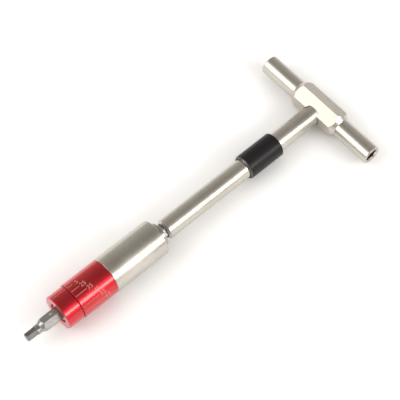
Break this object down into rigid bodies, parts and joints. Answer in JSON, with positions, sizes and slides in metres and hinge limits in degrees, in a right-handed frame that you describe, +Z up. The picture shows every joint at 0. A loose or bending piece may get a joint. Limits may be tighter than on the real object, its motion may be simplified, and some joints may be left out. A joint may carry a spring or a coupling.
{
  "type": "torque screwdriver",
  "caption": "T-handle torque screwdriver: hexagonal-block crossbar, round shaft with a free-spinning sleeve, adjustable torque limiter with a graduated dial, and a hex bit.",
  "frame": {"origin": "on the rest plane, under the middle of the tool's length, on its centre plane", "axes": "+X along the tool's axis from the crossbar towards the bit, +Y along the crossbar, +Z up"},
  "size_m": [0.1934, 0.0736, 0.0188],
  "materials": {
    "nickel": "satin nickel plate on steel",
    "tool_steel": "satin hardened steel",
    "plain_steel": "turned steel",
    "spring_steel": "dark spring steel",
    "magnet": "nickel plated magnet",
    "black_anodised": "satin black anodised",
    "red_anodised": "satin red anodised",
    "bronze": "sintered bronze",
    "rubber": "matte"
  },
  "bodies": {
    "handle": {"t_handle": "nickel", "socket_magnets": "magnet", "shaft": "nickel", "sleeve_rings": "spring_steel", "input_shank": "tool_steel", "thrust_ball": "spring_steel", "rear_bushing": "bronze", "housing": "nickel", "backing_plate": "plain_steel", "drive_plates": "plain_steel", "pressure_plate": "plain_steel", "disc_springs": "spring_steel", "scale_sleeve": "red_anodised"},
    "spinner": {"spinner_sleeve": "black_anodised"},
    "dial": {"dial": "red_anodised", "dial_ring": "spring_steel", "dial_o_ring": "rubber"},
    "adjuster": {"thrust_washer": "plain_steel", "thrust_tube": "plain_steel", "adjusting_nut": "plain_steel", "nut_bushing": "bronze"},
    "output": {"output_spindle": "plain_steel", "spindle_clip": "spring_steel", "spindle_magnet": "magnet", "friction_discs": "bronze", "bit": "tool_steel"}
  },
  "joints": [
    {"name": "sleeve_spin", "type": "hinge", "parent": "handle", "child": "spinner", "pos_m": [-0.04865, 0, 0.0094], "axis": [1, 0, 0], "continuous": true},
    {"name": "dial_turn", "type": "hinge", "parent": "handle", "child": "dial", "pos_m": [0.07395, 0, 0.0094], "axis": [1, 0, 0], "range_deg": [-98.2, 13.4]},
    {"name": "nut_travel", "type": "slide", "parent": "handle", "child": "adjuster", "axis": [1, 0, 0], "range_m": [-0.0017, 0.0003], "deforming": ["disc_springs"]},
    {"name": "clutch_slip", "type": "hinge", "parent": "handle", "child": "output", "pos_m": [0.0726, 0, 0.0094], "axis": [1, 0, 0], "continuous": true}
  ],
  "couplings": [
    {"joint": "nut_travel", "follows": "dial_turn", "m_per_rad": 0.00095493}
  ]
}
